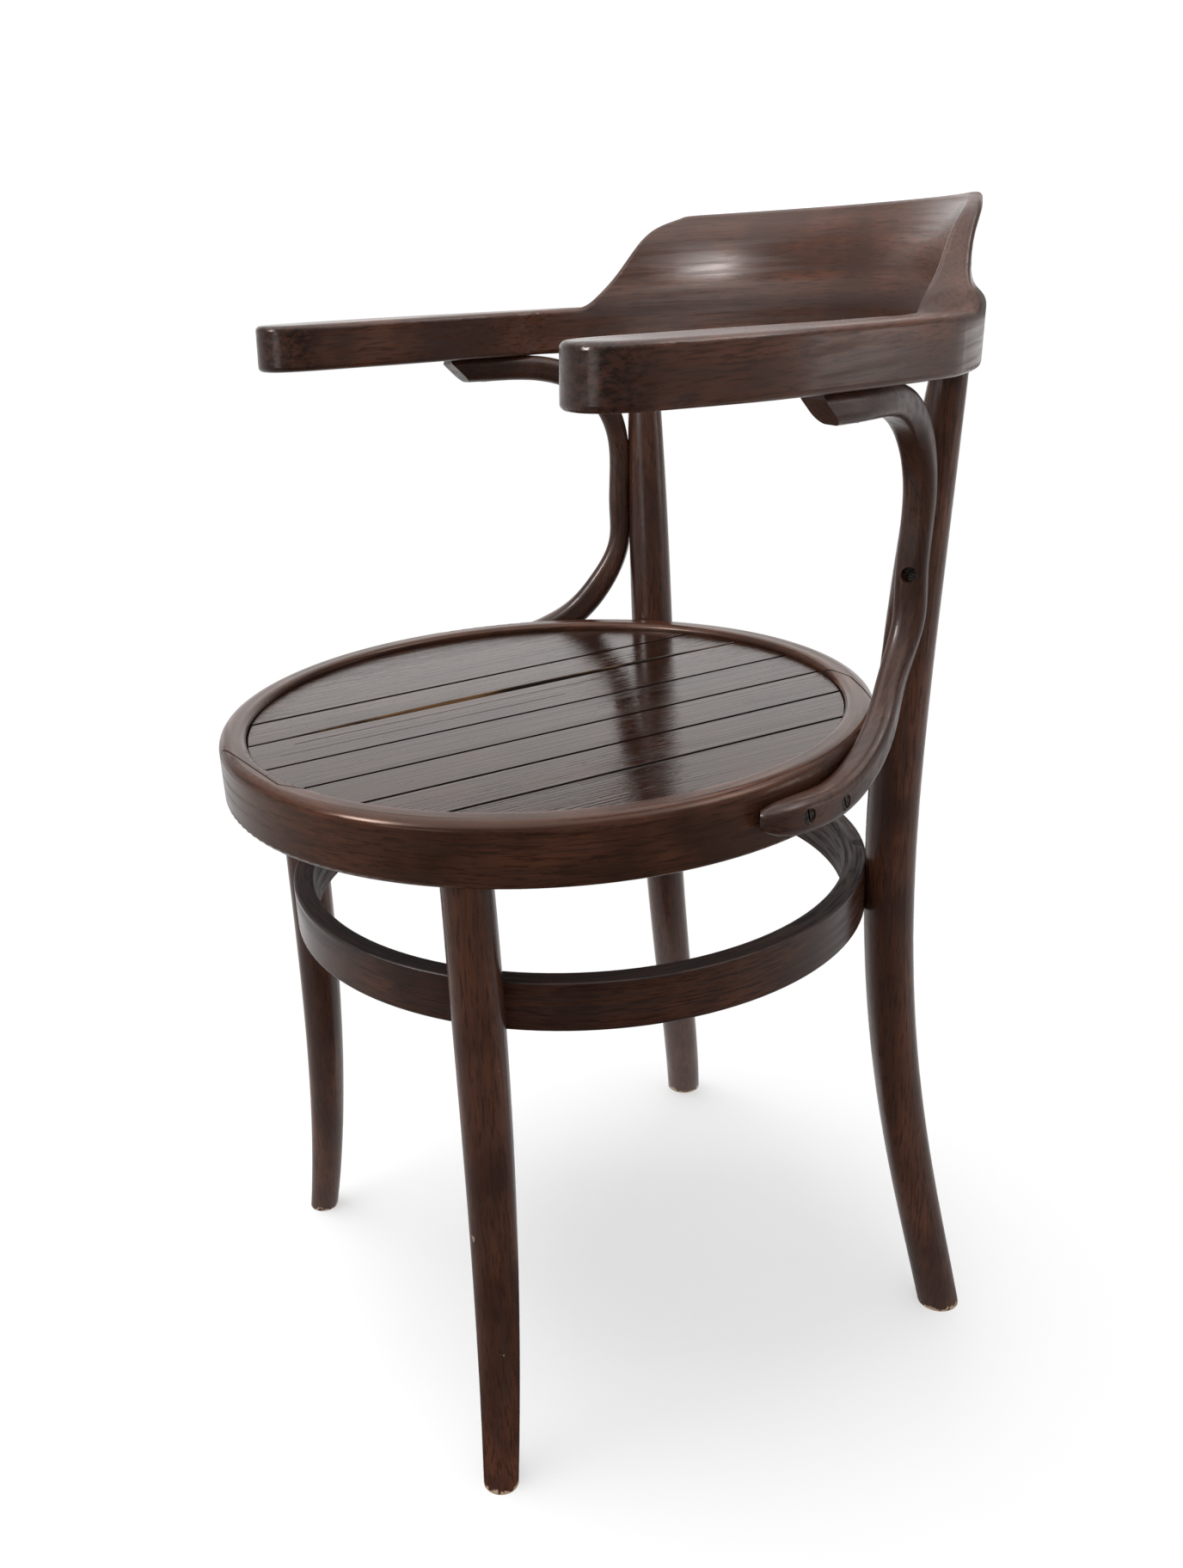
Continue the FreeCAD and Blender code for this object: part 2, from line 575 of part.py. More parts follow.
for word, side in SIDES:
    name = f"arm_brace_{word}"
    strip = doc.addObject("Part::Feature", name + "_strip")
    strip.Shape = brace_shape(side)
    holes = []
    for angle, height in ((11.7, 440.5), (19.8, 438.5)):
        out = mirrored(polar(1, angle), side)
        reach = value("Dims.seat_radius + Dims.brace_depth") - 0.6
        head = Vector(reach * out.x, SEAT_Y + reach * out.y, height)
        hole = ring_screws.add(head, out * -1, 31)
        holes.append(hole)
        ring_holes[word].append(hole)
    leg_point, bearing, (_, depth) = brace_path(side)[6]
    hole = post_screws.add(leg_point - bearing * (depth / 2 - 4.5), bearing, 25)
    holes.append(hole)
    rear_legs[word][1].append(hole)
    arm_point, bearing, (_, depth) = brace_path(side)[1]
    hole = arm_screws.add(arm_point - bearing * (depth / 2 + 0.1), bearing, 34)
    holes.append(hole)
    rail_holes.append(hole)
    node(f"rear_leg_{word}", cut(f"rear_leg_{word}", *rear_legs[word]))
    above = make("Part::Box", name + "_above", {"Length": "600", "Width": "600", "Height": "60"})
    above.Placement = RAIL_FRAME.multiply(Placement(Vector(-300, -300, 0), Rotation()))
    tip = mirrored(polar(219.5, 9.1, 0, -8), side)
    bevel = make("Part::Box", name + "_bevel", {"Length": "80", "Width": "40", "Height": "80"})
    centred = Placement(Vector(-40, -40, -40), Rotation())
    lean = Placement(tip, Rotation(Vector(1, 0, 0), 45))
    bevel.Placement = RAIL_FRAME.multiply(lean).multiply(centred)
    ring_face = housing(name + "_ring_face", *RING_HOUSING)
    node(name, cut(name, strip, [ring_face, above, bevel, rear_legs[word][0]] + holes))

node("arm_back_rail", cut("arm_back_rail", rail, rail_holes))

# Seat ring: two bent halves that overlap in a long scarf at the front and at the rear
nails = []
for order, angle in enumerate((-86, -82)):
    spot = polar(value("Dims.seat_radius") - 12, angle, SEAT_Y, value("Dims.seat_height"))
    nails.append(make("Part::Cylinder", f"scarf_nail_{order + 1}", {
        "Radius": "Dims.nail_radius", "Height": "Dims.nail_length"}, along(spot, Vector(0, 0, -1))))
    ring_holes["right"].append(make("Part::Cylinder", f"scarf_nail_hole_{order + 1}", {
        "Radius": "Dims.nail_radius + Dims.hole_play / 2", "Height": "Dims.nail_length + Dims.hole_play"},
        along(spot, Vector(0, 0, -1))))


def scarf_line(outer_angle, inner_angle):
    """Points of the glue line in plan, from outside the ring to inside it."""
    reach = 3
    middle = f"(({outer_angle}) + ({inner_angle})) / 2"
    return [polar_formula(f"Dims.seat_radius + {reach}", outer_angle, "0"),
            polar_formula("Dims.seat_radius - Dims.scarf_butt", outer_angle, "0"),
            polar_formula(f"(Dims.seat_radius + {RING_LIP}) / 2", middle, "0"),
            polar_formula(f"{RING_LIP} - {reach}", inner_angle, "0"),
            polar_formula(f"{RING_BORE} - {reach}", inner_angle, "0")]


front_scarf = scarf_line("Dims.scarf_front_outer", "Dims.scarf_front_inner")
rear_scarf = scarf_line("Dims.scarf_rear_outer", "Dims.scarf_rear_inner")
FAR = "1.6 * Dims.seat_radius"
right_corners = [polar_formula(FAR, "Dims.scarf_rear_outer", "0"), ("0", FAR), ("-" + FAR, FAR),
                 ("-" + FAR, "-" + FAR), polar_formula(FAR, "Dims.scarf_front_outer", "0")]
left_corners = [polar_formula(FAR, "Dims.scarf_rear_outer", "0"), (FAR, FAR), (FAR, "-" + FAR),
                polar_formula(FAR, "Dims.scarf_front_outer", "0")]
glue_lines = front_scarf + rear_scarf[::-1]
removed = {"left": glue_lines + right_corners, "right": glue_lines + left_corners}
for word, side in SIDES:
    half = turned_ring(f"ring_half_{word}", [
        ("Dims.seat_radius", RING_FOOT), ("Dims.seat_radius", "Dims.seat_height"),
        (RING_LIP, "Dims.seat_height"), (RING_LIP, LEDGE), (RING_BORE, LEDGE), (RING_BORE, RING_FOOT)],
        [("Dims.ring_outer_round", [1]), ("Dims.ring_inner_round", [2]), ("Dims.ring_foot_round", [0, 5])],
        "Dims.seat_centre_y")
    outline = sketch_on(half, "XY_Plane", f"scarf_outline_{word}")
    closed_outline(outline, removed[word])
    scarf = half.newObject("PartDesign::Pocket", f"scarf_cut_{word}")
    scarf.Profile = outline
    scarf.Type = 1
    scarf.Midplane = True
    doc.recompute()
    node(f"seat_ring_{word}", cut(f"seat_ring_{word}", half, ring_holes[word]))

node("scarf_nails", compound("scarf_nails", nails))
for group in (ring_screws, post_screws, arm_screws, hoop_screws, leg_screws):
    group.done()

doc.recompute()
for obj in doc.Objects:
    if "Invalid" in obj.State or "Error" in obj.State:
        raise RuntimeError(f"{obj.Label} did not build: {obj.State}")
os.makedirs("parts", exist_ok=True)
for obj in nodes:
    if obj.Shape.isNull() or not obj.Shape.isValid():
        raise RuntimeError(f"{obj.Label} has no valid shape")
    obj.Shape.exportStep(f"parts/{obj.Label}.step")
    print(obj.Label, len(obj.Shape.Solids), round(obj.Shape.Volume))
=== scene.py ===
import math

import bpy
from mathutils import Matrix, Vector

# Bentwood armchair: materials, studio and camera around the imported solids.
# Metres, +Z up, the front of the chair faces -Y and the sitter's left is +X.

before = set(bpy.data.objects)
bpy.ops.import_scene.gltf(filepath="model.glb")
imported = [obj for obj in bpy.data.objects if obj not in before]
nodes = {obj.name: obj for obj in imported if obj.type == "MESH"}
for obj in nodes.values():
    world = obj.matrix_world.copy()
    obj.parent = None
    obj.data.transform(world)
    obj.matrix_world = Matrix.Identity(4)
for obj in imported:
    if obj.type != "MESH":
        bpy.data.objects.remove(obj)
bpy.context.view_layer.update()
scene = bpy.context.scene

# Sizes of the solids that the materials follow
SEAT_CENTRE_Y = -0.0281
SEAT_RADIUS = 0.2135
HOOP_CENTRE_Y = -0.008
HOOP_RADIUS = 0.189
HOOP_BORE = 0.1818
HOOP_TOP = 0.3478
RAIL_CENTRE_Y = -0.0081
RAIL_RADIUS = 0.232
BRACE_CENTRE_Y = 0.02
BRACE_CENTRE_Z = 0.548
BRACE_RADIUS = 0.115
BOARD_TOP = 0.455
BOARD_COUNT = 7
ARM_END_Y = -0.116
BACK_FOLD = 0.693

# Places and sizes of seams and marks, with angles in degrees
HOOP_SEAM = 225
HOOP_KNOT = (0.1024, 0.1555, HOOP_TOP)
SCARF_FRONT = (-101, -52)
SCARF_REAR = (53, 77)
SEAM_HALF_WIDTH = 0.0008
CRACK_HALF_WIDTH = 0.0006
CRACK_RUNS = ((-0.0148, -0.205, 0.000), (-0.0315, -0.190, 0.060))
LINE_WANDER = 0.0025
FOOT_WEAR = 0.005

# Noise steps per metre, twice across the fibres and then along them
BAND_STEPS = (38, 38, 1.8)
STAIN_STEPS = (48, 48, 11)
FIBRE_STEPS = (800, 800, 30)
FLECK_STEPS = (650, 650, 60)
CLOUD_STEPS = (17, 17, 17)

# Heights of the wavy and the fine relief
WAVE_DEPTH = 0.0010
GRAIN_DEPTH = 0.00022


# Node helper
class Shader:
    """Adds linked nodes to one material or world tree."""

    def __init__(self, tree):
        self.tree = tree

    def node(self, kind, **settings):
        made = self.tree.nodes.new(kind)
        for name, setting in settings.items():
            setattr(made, name, setting)
        return made

    def feed(self, socket, source):
        """Links the source to the socket, or sets the socket to it if it is a plain value."""
        if isinstance(source, bpy.types.NodeSocket):
            self.tree.links.new(source, socket)
        else:
            socket.default_value = source

    def math(self, operation, *values):
        made = self.node("ShaderNodeMath", operation=operation)
        for socket, source in zip(made.inputs, values):
            self.feed(socket, source)
        return made.outputs[0]

    def plus(self, base, source, factor):
        """The base and the source times the factor."""
        return self.math("MULTIPLY_ADD", source, factor, base)

    def length(self, first, second):
        """Length of the vector with these two parts."""
        squares = self.math("MULTIPLY_ADD", first, first, self.math("MULTIPLY", second, second))
        return self.math("SQRT", squares)

    def dot(self, first, second):
        made = self.node("ShaderNodeVectorMath", operation="DOT_PRODUCT")
        self.feed(made.inputs[0], first)
        self.feed(made.inputs[1], second)
        return made.outputs["Value"]

    def vector(self, x, y, z):
        made = self.node("ShaderNodeCombineXYZ")
        for socket, source in zip(made.inputs, (x, y, z)):
            self.feed(socket, source)
        return made.outputs[0]

    def split(self, vector):
        made = self.node("ShaderNodeSeparateXYZ")
        self.feed(made.inputs[0], vector)
        return made.outputs["X"], made.outputs["Y"], made.outputs["Z"]

    def scaled(self, vector, factors, shift=(0, 0, 0)):
        made = self.node("ShaderNodeMapping")
        self.feed(made.inputs["Vector"], vector)
        made.inputs["Scale"].default_value = factors
        made.inputs["Location"].default_value = shift
        return made.outputs[0]

    def noise(self, vector, detail=3.0, roughness=0.55, distortion=0.0):
        made = self.node("ShaderNodeTexNoise")
        self.feed(made.inputs["Vector"], vector)
        made.inputs["Scale"].default_value = 1.0
        made.inputs["Detail"].default_value = detail
        made.inputs["Roughness"].default_value = roughness
        made.inputs["Distortion"].default_value = distortion
        return made.outputs["Fac"]

    def span(self, source, low, high, to_low=0.0, to_high=1.0, smooth=True):
        """Carries the range from low to high over to the range from to_low to to_high."""
        made = self.node("ShaderNodeMapRange")
        made.interpolation_type = "SMOOTHSTEP" if smooth else "LINEAR"
        self.feed(made.inputs["Value"], source)
        made.inputs["From Min"].default_value = low
        made.inputs["From Max"].default_value = high
        made.inputs["To Min"].default_value = to_low
        made.inputs["To Max"].default_value = to_high
        return made.outputs["Result"]

    def mix(self, share, first, second):
        """Goes from the first colour to the second as the share goes from 0 to 1."""
        made = self.node("ShaderNodeMix", data_type="RGBA")
        self.feed(made.inputs["Factor"], share)
        ends = [socket for socket in made.inputs if socket.type == "RGBA"]
        for socket, source in zip(ends, (first, second)):
            self.feed(socket, source)
        return next(socket for socket in made.outputs if socket.type == "RGBA")

    def bump(self, height, strength, distance):
        made = self.node("ShaderNodeBump")
        made.inputs["Strength"].default_value = strength
        made.inputs["Distance"].default_value = distance
        self.feed(made.inputs["Height"], height)
        return made


def colour(red, green, blue):
    return (red, green, blue, 1.0)


def new_material(name):
    material = bpy.data.materials.new(name)
    material.use_nodes = True
    return material, Shader(material.node_tree), material.node_tree.nodes["Principled BSDF"]


def place(shader):
    """Position in the chair's own frame."""
    return shader.node("ShaderNodeTexCoord").outputs["Object"]


# Grain frames: two directions across the fibres, then the direction along them
def upright_grain(shader):
    """Fibres straight up."""
    return place(shader)


def board_grain(shader):
    """Fibres straight from front to back."""
    x, y, z = shader.split(place(shader))
    return shader.vector(x, z, y)


def ring_grain(centre_y, radius, seam):
    """Fibres round a ring; they meet at the seam angle in degrees."""
    swing = math.radians(seam) - math.pi
    ahead = Vector((math.cos(swing), math.sin(swing), 0.0))
    aside = Vector((-math.sin(swing), math.cos(swing), 0.0))

    def build(shader):
        x, y, z = shader.split(place(shader))
        back = shader.math("SUBTRACT", y, centre_y)
        spot = shader.vector(x, back, 0.0)
        turn = shader.math("ARCTAN2", shader.dot(spot, aside), shader.dot(spot, ahead))
        return shader.vector(shader.length(x, back), z, shader.math("MULTIPLY", turn, radius))
    return build


def rail_grain(shader):
    """Fibres round the back and straight along both arms."""
    x, y, z = shader.split(place(shader))
    back = shader.math("SUBTRACT", y, RAIL_CENTRE_Y)
    bent = shader.math("MAXIMUM", back, 0.0)
    straight = shader.math("MULTIPLY", shader.math("MINIMUM", back, 0.0), shader.math("SIGN", x))
    turn = shader.math("SUBTRACT", shader.math("ARCTAN2", bent, x), math.pi / 2)
    return shader.vector(shader.length(x, bent), z, shader.plus(straight, turn, RAIL_RADIUS))


def brace_grain(shader):
    """Fibres round the bend of a brace, as seen from the side."""
    x, y, z = shader.split(place(shader))
    back = shader.math("SUBTRACT", y, BRACE_CENTRE_Y)
    up = shader.math("SUBTRACT", z, BRACE_CENTRE_Z)
    turn = shader.math("MULTIPLY", shader.math("ARCTAN2", up, back), BRACE_RADIUS)
    return shader.vector(shader.length(back, up), x, turn)


# Wood: three shades of stain, the colours of wear, a near black for grime and for painted shade, and the
# tints of the varnish
DARK = (0.0135, 0.0052, 0.0034)
BROWN = (0.0430, 0.0165, 0.0092)
RED = (0.0800, 0.0260, 0.0130)
# Near black for glue lines, cracks and arm ends, and for painted shade in the board gaps and on the hoop
GRIME_AND_SHADE = colour(0.004, 0.0025, 0.0020)
BARE = colour(0.17, 0.085, 0.035)
WORN = colour(0.42, 0.30, 0.20)
CLEAR = colour(1.0, 0.95, 0.93)
AMBER = colour(1.0, 0.72, 0.60)


def wood(name, grain, seed, lightness=1.0, roughness=0.24, contrast=0.4, patches=0.5, relief=0.3,
         waviness=1.0, wave_steps=(40, 40, 7), streak_steps=(260, 260, 9), varnish=CLEAR, marks=()):
    """Stained and varnished beech; each mark changes the tone, the height and the roughness."""
    material, shader, surface = new_material(name)
    dark, brown, red = (colour(*(lightness * part for part in shade)) for shade in (DARK, BROWN, RED))
    line = grain(shader)
    shift = (seed * 0.731, seed * 1.37, seed * 2.11)
    bands = shader.noise(shader.scaled(line, BAND_STEPS, shift), 3.0, 0.5, 0.4)
    stain = shader.noise(shader.scaled(line, STAIN_STEPS, shift), 4.0, 0.6)
    streaks = shader.noise(shader.scaled(line, streak_steps, shift), 3.0, 0.55, 0.3)
    fibres = shader.noise(shader.scaled(line, FIBRE_STEPS, shift), 3.0, 0.6, 0.2)
    flecks = shader.noise(shader.scaled(line, FLECK_STEPS, shift), 3.0, 0.6)
    cloud = shader.noise(shader.scaled(place(shader), CLOUD_STEPS, shift), 3.0, 0.55)
    waves = shader.noise(shader.scaled(line, wave_steps, shift), 2.0, 0.5)
    tone = shader.mix(shader.span(bands, 0.30, 0.70, 0.30, 1.0), dark, brown)
    tone = shader.mix(shader.span(stain, 0.45, 0.72, 0.0, patches), tone, red)
    tone = shader.mix(shader.span(streaks, 0.46, 0.70, 0.0, contrast), tone, dark)
    tone = shader.mix(shader.span(fibres, 0.48, 0.70, 0.0, contrast), tone, dark)
    tone = shader.mix(shader.span(flecks, 0.48, 0.64, 0.0, 0.80), tone, dark)
    tone = shader.mix(shader.span(cloud, 0.38, 0.70, 0.0, 0.75), tone, dark)
    height = shader.plus(shader.math("MULTIPLY", fibres, 0.8), streaks, 1.4)
    height = shader.plus(height, shader.span(flecks, 0.55, 0.72), -0.25)
    rough = shader.plus(shader.span(streaks, 0.40, 0.70, 0.0, 0.14), cloud, 0.12)
    rough = shader.math("ADD", rough, roughness - 0.10)
    for mark in marks:
        tone, height, rough = mark(shader, line, tone, height, rough)
    wavy = shader.bump(waves, 0.30 * waviness, WAVE_DEPTH)
    fine = shader.bump(height, 0.40 * relief, GRAIN_DEPTH)
    shader.feed(fine.inputs["Normal"], wavy.outputs["Normal"])
    shader.feed(surface.inputs["Base Color"], tone)
    shader.feed(surface.inputs["Roughness"], rough)
    shader.feed(surface.inputs["Normal"], fine.outputs["Normal"])
    surface.inputs["IOR"].default_value = 1.5
    surface.inputs["Specular Tint"].default_value = varnish
    return material


# Marks of making and use, and painted shade
def thin_lines(shader, lines, half_width):
    """Mask of slightly wandering lines seen from above, each from its start to its end."""
    x, y, _ = shader.split(place(shader))
    wander = shader.noise(shader.scaled(place(shader), (30, 30, 30)), 3.0, 0.6)
    x = shader.plus(x, shader.math("SUBTRACT", wander, 0.5), LINE_WANDER)
    spot = shader.vector(x, y, 0.0)
    mask = 0.0
    for start, end in lines:
        ahead = (end - start).normalized()
        aside = Vector((-ahead.y, ahead.x, 0.0))
        offset = shader.math("ABSOLUTE", shader.math("SUBTRACT", shader.dot(spot, aside), start.dot(aside)))
        run = shader.math("SUBTRACT", shader.dot(spot, ahead), start.dot(ahead))
        within = shader.math("MULTIPLY", shader.math("GREATER_THAN", run, 0.0),
                             shader.math("LESS_THAN", run, (end - start).length))
        drawn = shader.math("MULTIPLY", within, shader.span(offset, 0.4 * half_width, half_width, 1.0, 0.0))
        mask = shader.math("MAXIMUM", mask, drawn)
    return mask


def grime_and_shade(shader, mask, tone, height, rough, depth):
    """Dark, dull and lower where the mask is one: grime on glue lines and cracks, painted shade in the
    board gaps.
    """
    return shader.mix(mask, tone, GRIME_AND_SHADE), shader.plus(height, mask, -depth), shader.plus(rough, mask, 0.7)


def scarf_lines(outer_angle, inner_angle):
    """Glue line of a scarf joint of the seat ring, as straight lines in plan."""
    stops = ((SEAT_RADIUS + 0.003, outer_angle), (SEAT_RADIUS - 0.0025, outer_angle),
             (SEAT_RADIUS - 0.009, (outer_angle + inner_angle) / 2), (SEAT_RADIUS - 0.021, inner_angle))
    corners = []
    for reach, angle in stops:
        turn = math.radians(angle)
        corners.append(Vector((reach * math.cos(turn), SEAT_CENTRE_Y + reach * math.sin(turn), 0.0)))
    return list(zip(corners, corners[1:]))


def scarf_seams(shader, line, tone, height, rough):
    """Dark glue lines of the two long scarf joints."""
    lines = scarf_lines(*SCARF_FRONT) + scarf_lines(*SCARF_REAR)
    seam = thin_lines(shader, lines, SEAM_HALF_WIDTH)
    return grime_and_shade(shader, seam, tone, height, rough, 2.0)


def cracks(shader, line, tone, height, rough):
    """Two drying cracks along the third board."""
    lines = [(Vector((x, low, 0.0)), Vector((x, high, 0.0))) for x, low, high in CRACK_RUNS]
    crack = thin_lines(shader, lines, CRACK_HALF_WIDTH)
    return grime_and_shade(shader, crack, tone, height, rough, 2.0)


def shaded_gaps(shader, line, tone, height, rough):
    """Painted shade in the gaps between the boards, dark and dull below the board tops."""
    _, _, z = shader.split(place(shader))
    sunk = shader.span(z, BOARD_TOP - 0.0006, BOARD_TOP - 0.0001, 1.0, 0.0)
    return grime_and_shade(shader, sunk, tone, height, rough, 0.0)


def open_gap(shader, line, tone, height, rough):
    """Bare wood on the shrunk edge of the second board."""
    facing, _, _ = shader.split(shader.node("ShaderNodeTexCoord").outputs["Normal"])
    patch = shader.noise(shader.scaled(line, (160, 160, 14)), 3.0, 0.6)
    bare = shader.math("MULTIPLY", shader.span(facing, 0.4, 0.8), shader.span(patch, 0.50, 0.66))
    return shader.mix(bare, tone, BARE), height, rough


def worn_foot(shader, line, tone, height, rough):
    """Varnish rubbed off round the foot of a leg."""
    _, _, z = shader.split(place(shader))
    chips = shader.noise(shader.scaled(place(shader), (260, 260, 260)), 3.0, 0.6)
    edge = shader.plus(z, shader.span(chips, 0.35, 0.75), -FOOT_WEAR)
    rub = shader.span(edge, -0.0005, 0.0005, 0.85, 0.0)
    return shader.mix(rub, tone, WORN), height, rough


def dents(shader, line, tone, height, rough):
    """Few small pale knocks."""
    spots = shader.noise(shader.scaled(place(shader), (130, 130, 95)), 2.0, 0.5)
    chance = shader.noise(shader.scaled(place(shader), (11, 11, 11)), 2.0, 0.5)
    knock = shader.math("MULTIPLY", shader.span(spots, 0.735, 0.765), shader.span(chance, 0.50, 0.58))
    pale = shader.math("MULTIPLY", knock, 0.55)
    return shader.mix(pale, tone, WORN), shader.plus(height, knock, -1.5), rough


def shaded_hoop_and_knot(shader, line, tone, height, rough):
    """Painted shade as dark streaks on the top and inside of the hoop, under the seat, with one dark knot
    there; both faces are duller.
    """
    _, _, z = shader.split(place(shader))
    across, _, _ = shader.split(line)
    inside = shader.span(across, HOOP_BORE + 0.0003, HOOP_BORE + 0.0012, 1.0, 0.0)
    # The top and inside faces, which get the painted shade
    shaded_faces = shader.math("MAXIMUM", inside, shader.span(z, HOOP_TOP - 0.0012, HOOP_TOP - 0.0003))
    streaks = shader.noise(shader.scaled(line, (500, 500, 30)), 3.0, 0.6, 0.4)
    away = shader.node("ShaderNodeVectorMath", operation="DISTANCE")
    shader.feed(away.inputs[0], place(shader))
    away.inputs[1].default_value = HOOP_KNOT
    reach = shader.plus(away.outputs["Value"], streaks, 0.004)
    rings = shader.math("SINE", shader.math("MULTIPLY", reach, 3800))
    swirl = shader.plus(0.7, rings, 0.3)
    knot = shader.math("MULTIPLY", shader.span(reach, 0.006, 0.009, 1.0, 0.0), swirl)
    dark = shader.math("MAXIMUM", knot, shader.span(streaks, 0.48, 0.62, 0.0, 0.6))
    dark = shader.math("MULTIPLY", shaded_faces, dark)
    rough = shader.plus(rough, shader.math("ADD", dark, shaded_faces), 0.35)
    return shader.mix(dark, tone, GRIME_AND_SHADE), shader.math("SUBTRACT", height, dark), rough


def end_grain(shader, line, tone, height, rough):
    """Mottled, pitted ends of the arms."""
    _, y, _ = shader.split(place(shader))
    pits = shader.noise(shader.scaled(place(shader), (210, 210, 330)), 4.0, 0.65)
    end = shader.span(y, ARM_END_Y + 0.012, ARM_END_Y + 0.040, 1.0, 0.0)
    mottle = shader.math("MULTIPLY", end, shader.span(pits, 0.40, 0.62))
    tone = shader.mix(shader.math("MULTIPLY", end, 0.35), tone, colour(*DARK))
    tone = shader.mix(shader.math("MULTIPLY", mottle, 0.65), tone, GRIME_AND_SHADE)
    return tone, shader.plus(height, mottle, -0.35), shader.plus(rough, end, -0.05)


def dull_shaded_fold(shader, line, tone, height, rough):
    """Duller varnish and a line of painted shade inside the fold where the back rises from the rail."""
    _, y, z = shader.split(place(shader))
    band = shader.math("MULTIPLY", shader.span(z, BACK_FOLD - 0.012, BACK_FOLD - 0.004),
                       shader.span(z, BACK_FOLD + 0.004, BACK_FOLD + 0.011, 1.0, 0.0))
    fold = shader.math("MULTIPLY", band, shader.span(y, 0.09, 0.13))
    # Painted shade darkens the line in the fold
    tone = shader.mix(shader.math("MULTIPLY", fold, 0.35), tone, colour(*DARK))
    return tone, height, shader.plus(rough, fold, 0.35)


def steel(name):
    """Darkened steel with worn bright spots."""
    material, shader, surface = new_material(name)
    wear = shader.noise(shader.scaled(place(shader), (900, 900, 900)), 3.0, 0.6)
    tone = shader.mix(shader.span(wear, 0.45, 0.7), colour(0.035, 0.03, 0.028), colour(0.16, 0.14, 0.12))
    relief = shader.bump(wear, 0.2, 0.0002)
    surface.inputs["Metallic"].default_value = 1.0
    shader.feed(surface.inputs["Base Color"], tone)
    shader.feed(surface.inputs["Roughness"], shader.span(wear, 0.3, 0.7, 0.55, 0.35))
    shader.feed(surface.inputs["Normal"], relief.outputs["Normal"])
    return material


def dress(name, material):
    piece = nodes[name]
    piece.data.materials.clear()
    piece.data.materials.append(material)


# Materials on the solids
for order, (side, seam) in enumerate((("left", 180), ("right", 0))):
    ring = wood(f"ring_{side}", ring_grain(SEAT_CENTRE_Y, SEAT_RADIUS, seam), 1 + order, lightness=1.3,
                varnish=AMBER, marks=(scarf_seams,))
    dress(f"seat_ring_{side}", ring)
    for end, seed in (("front", 4), ("rear", 7)):
        leg = wood(f"{end}_leg_{side}", upright_grain, seed + order, lightness=1.9, patches=0.3,
                   marks=(worn_foot, dents))
        dress(f"{end}_leg_{side}", leg)
    brace = wood(f"arm_brace_{side}", brace_grain, 10 + order, lightness=1.45, roughness=0.32, patches=0.2)
    dress(f"arm_brace_{side}", brace)
hoop = wood("leg_hoop", ring_grain(HOOP_CENTRE_Y, HOOP_RADIUS, HOOP_SEAM), 13, lightness=1.2, relief=0.15,
            marks=(shaded_hoop_and_knot,))
dress("leg_hoop", hoop)
rail = wood("arm_back_rail", rail_grain, 17, lightness=2.1, roughness=0.29, contrast=0.25, patches=0.2,
            marks=(end_grain, dull_shaded_fold))
dress("arm_back_rail", rail)
own_marks = {2: (open_gap,), 3: (cracks,)}
for number in range(1, BOARD_COUNT + 1):
    board = wood(f"seat_board_{number}", board_grain, 20 + 3 * number, lightness=0.48, roughness=0.11,
                 contrast=0.8, relief=1.4, waviness=0.4, wave_steps=(24, 24, 1.0),
                 streak_steps=(380, 380, 2.5), varnish=AMBER,
                 marks=(shaded_gaps,) + own_marks.get(number, ()))
    dress(f"seat_board_{number}", board)
dark_steel = steel("dark_steel")
for name in ("brace_ring_screws", "brace_post_screws", "brace_arm_screws", "hoop_screws", "rear_leg_screws",
             "scarf_nails"):
    dress(name, dark_steel)

# Smooth shading, and softened edges on the boards
SHARP_ANGLE = math.radians(32)
EASED_ANGLE = math.radians(40)
BOARD_EASE = 0.0008
WELD_GAP = 0.000001
for name, piece in nodes.items():
    piece.data.shade_smooth()
    piece.data.set_sharp_from_angle(angle=SHARP_ANGLE)
    if name.startswith("seat_board"):
        weld = piece.modifiers.new("joined", "WELD")
        weld.merge_threshold = WELD_GAP
        bevel = piece.modifiers.new("eased", "BEVEL")
        bevel.width = BOARD_EASE
        bevel.segments = 2
        bevel.limit_method = "ANGLE"
        bevel.angle_limit = EASED_ANGLE
        level = piece.modifiers.new("level", "WEIGHTED_NORMAL")
        level.mode = "FACE_AREA"
        level.weight = 100

# Camera, fitted to the photograph: yaw, pitch and roll in degrees
CAMERA_PLACE = (0.8285, -0.4489, 0.7530)
CAMERA_TURN = (68.934, -21.974, -5.451)
IMAGE_HEIGHT = 1824
FOCAL_PIXELS = 1691.8
SHIFT_PIXELS = (214.6, 47.4)
yaw, pitch, roll = (math.radians(angle) for angle in CAMERA_TURN)
camera_data = bpy.data.cameras.new("camera")
camera_data.sensor_width = 36.0
camera_data.lens = FOCAL_PIXELS / IMAGE_HEIGHT * camera_data.sensor_width
camera_data.shift_x = SHIFT_PIXELS[0] / IMAGE_HEIGHT
camera_data.shift_y = SHIFT_PIXELS[1] / IMAGE_HEIGHT
camera_data.clip_start = 0.01
camera = bpy.data.objects.new("camera", camera_data)
scene.collection.objects.link(camera)
forward = Vector((-math.sin(yaw) * math.cos(pitch), math.cos(yaw) * math.cos(pitch), math.sin(pitch)))
level_right = Vector((math.cos(yaw), math.sin(yaw), 0.0))
level_up = level_right.cross(forward)
right = level_right * math.cos(roll) + level_up * math.sin(roll)
up = level_up * math.cos(roll) - level_right * math.sin(roll)
turn = Matrix((right, up, -forward)).transposed().to_4x4()
camera.matrix_world = Matrix.Translation(CAMERA_PLACE) @ turn
scene.camera = camera

# Studio: a white floor and dome, with darker reflections towards the camera's side of the room
TO_CAMERA = Vector((0.88, -0.475, 0.0)).normalized()
FLOOR_HALF = 40.0
DOME = 0.85


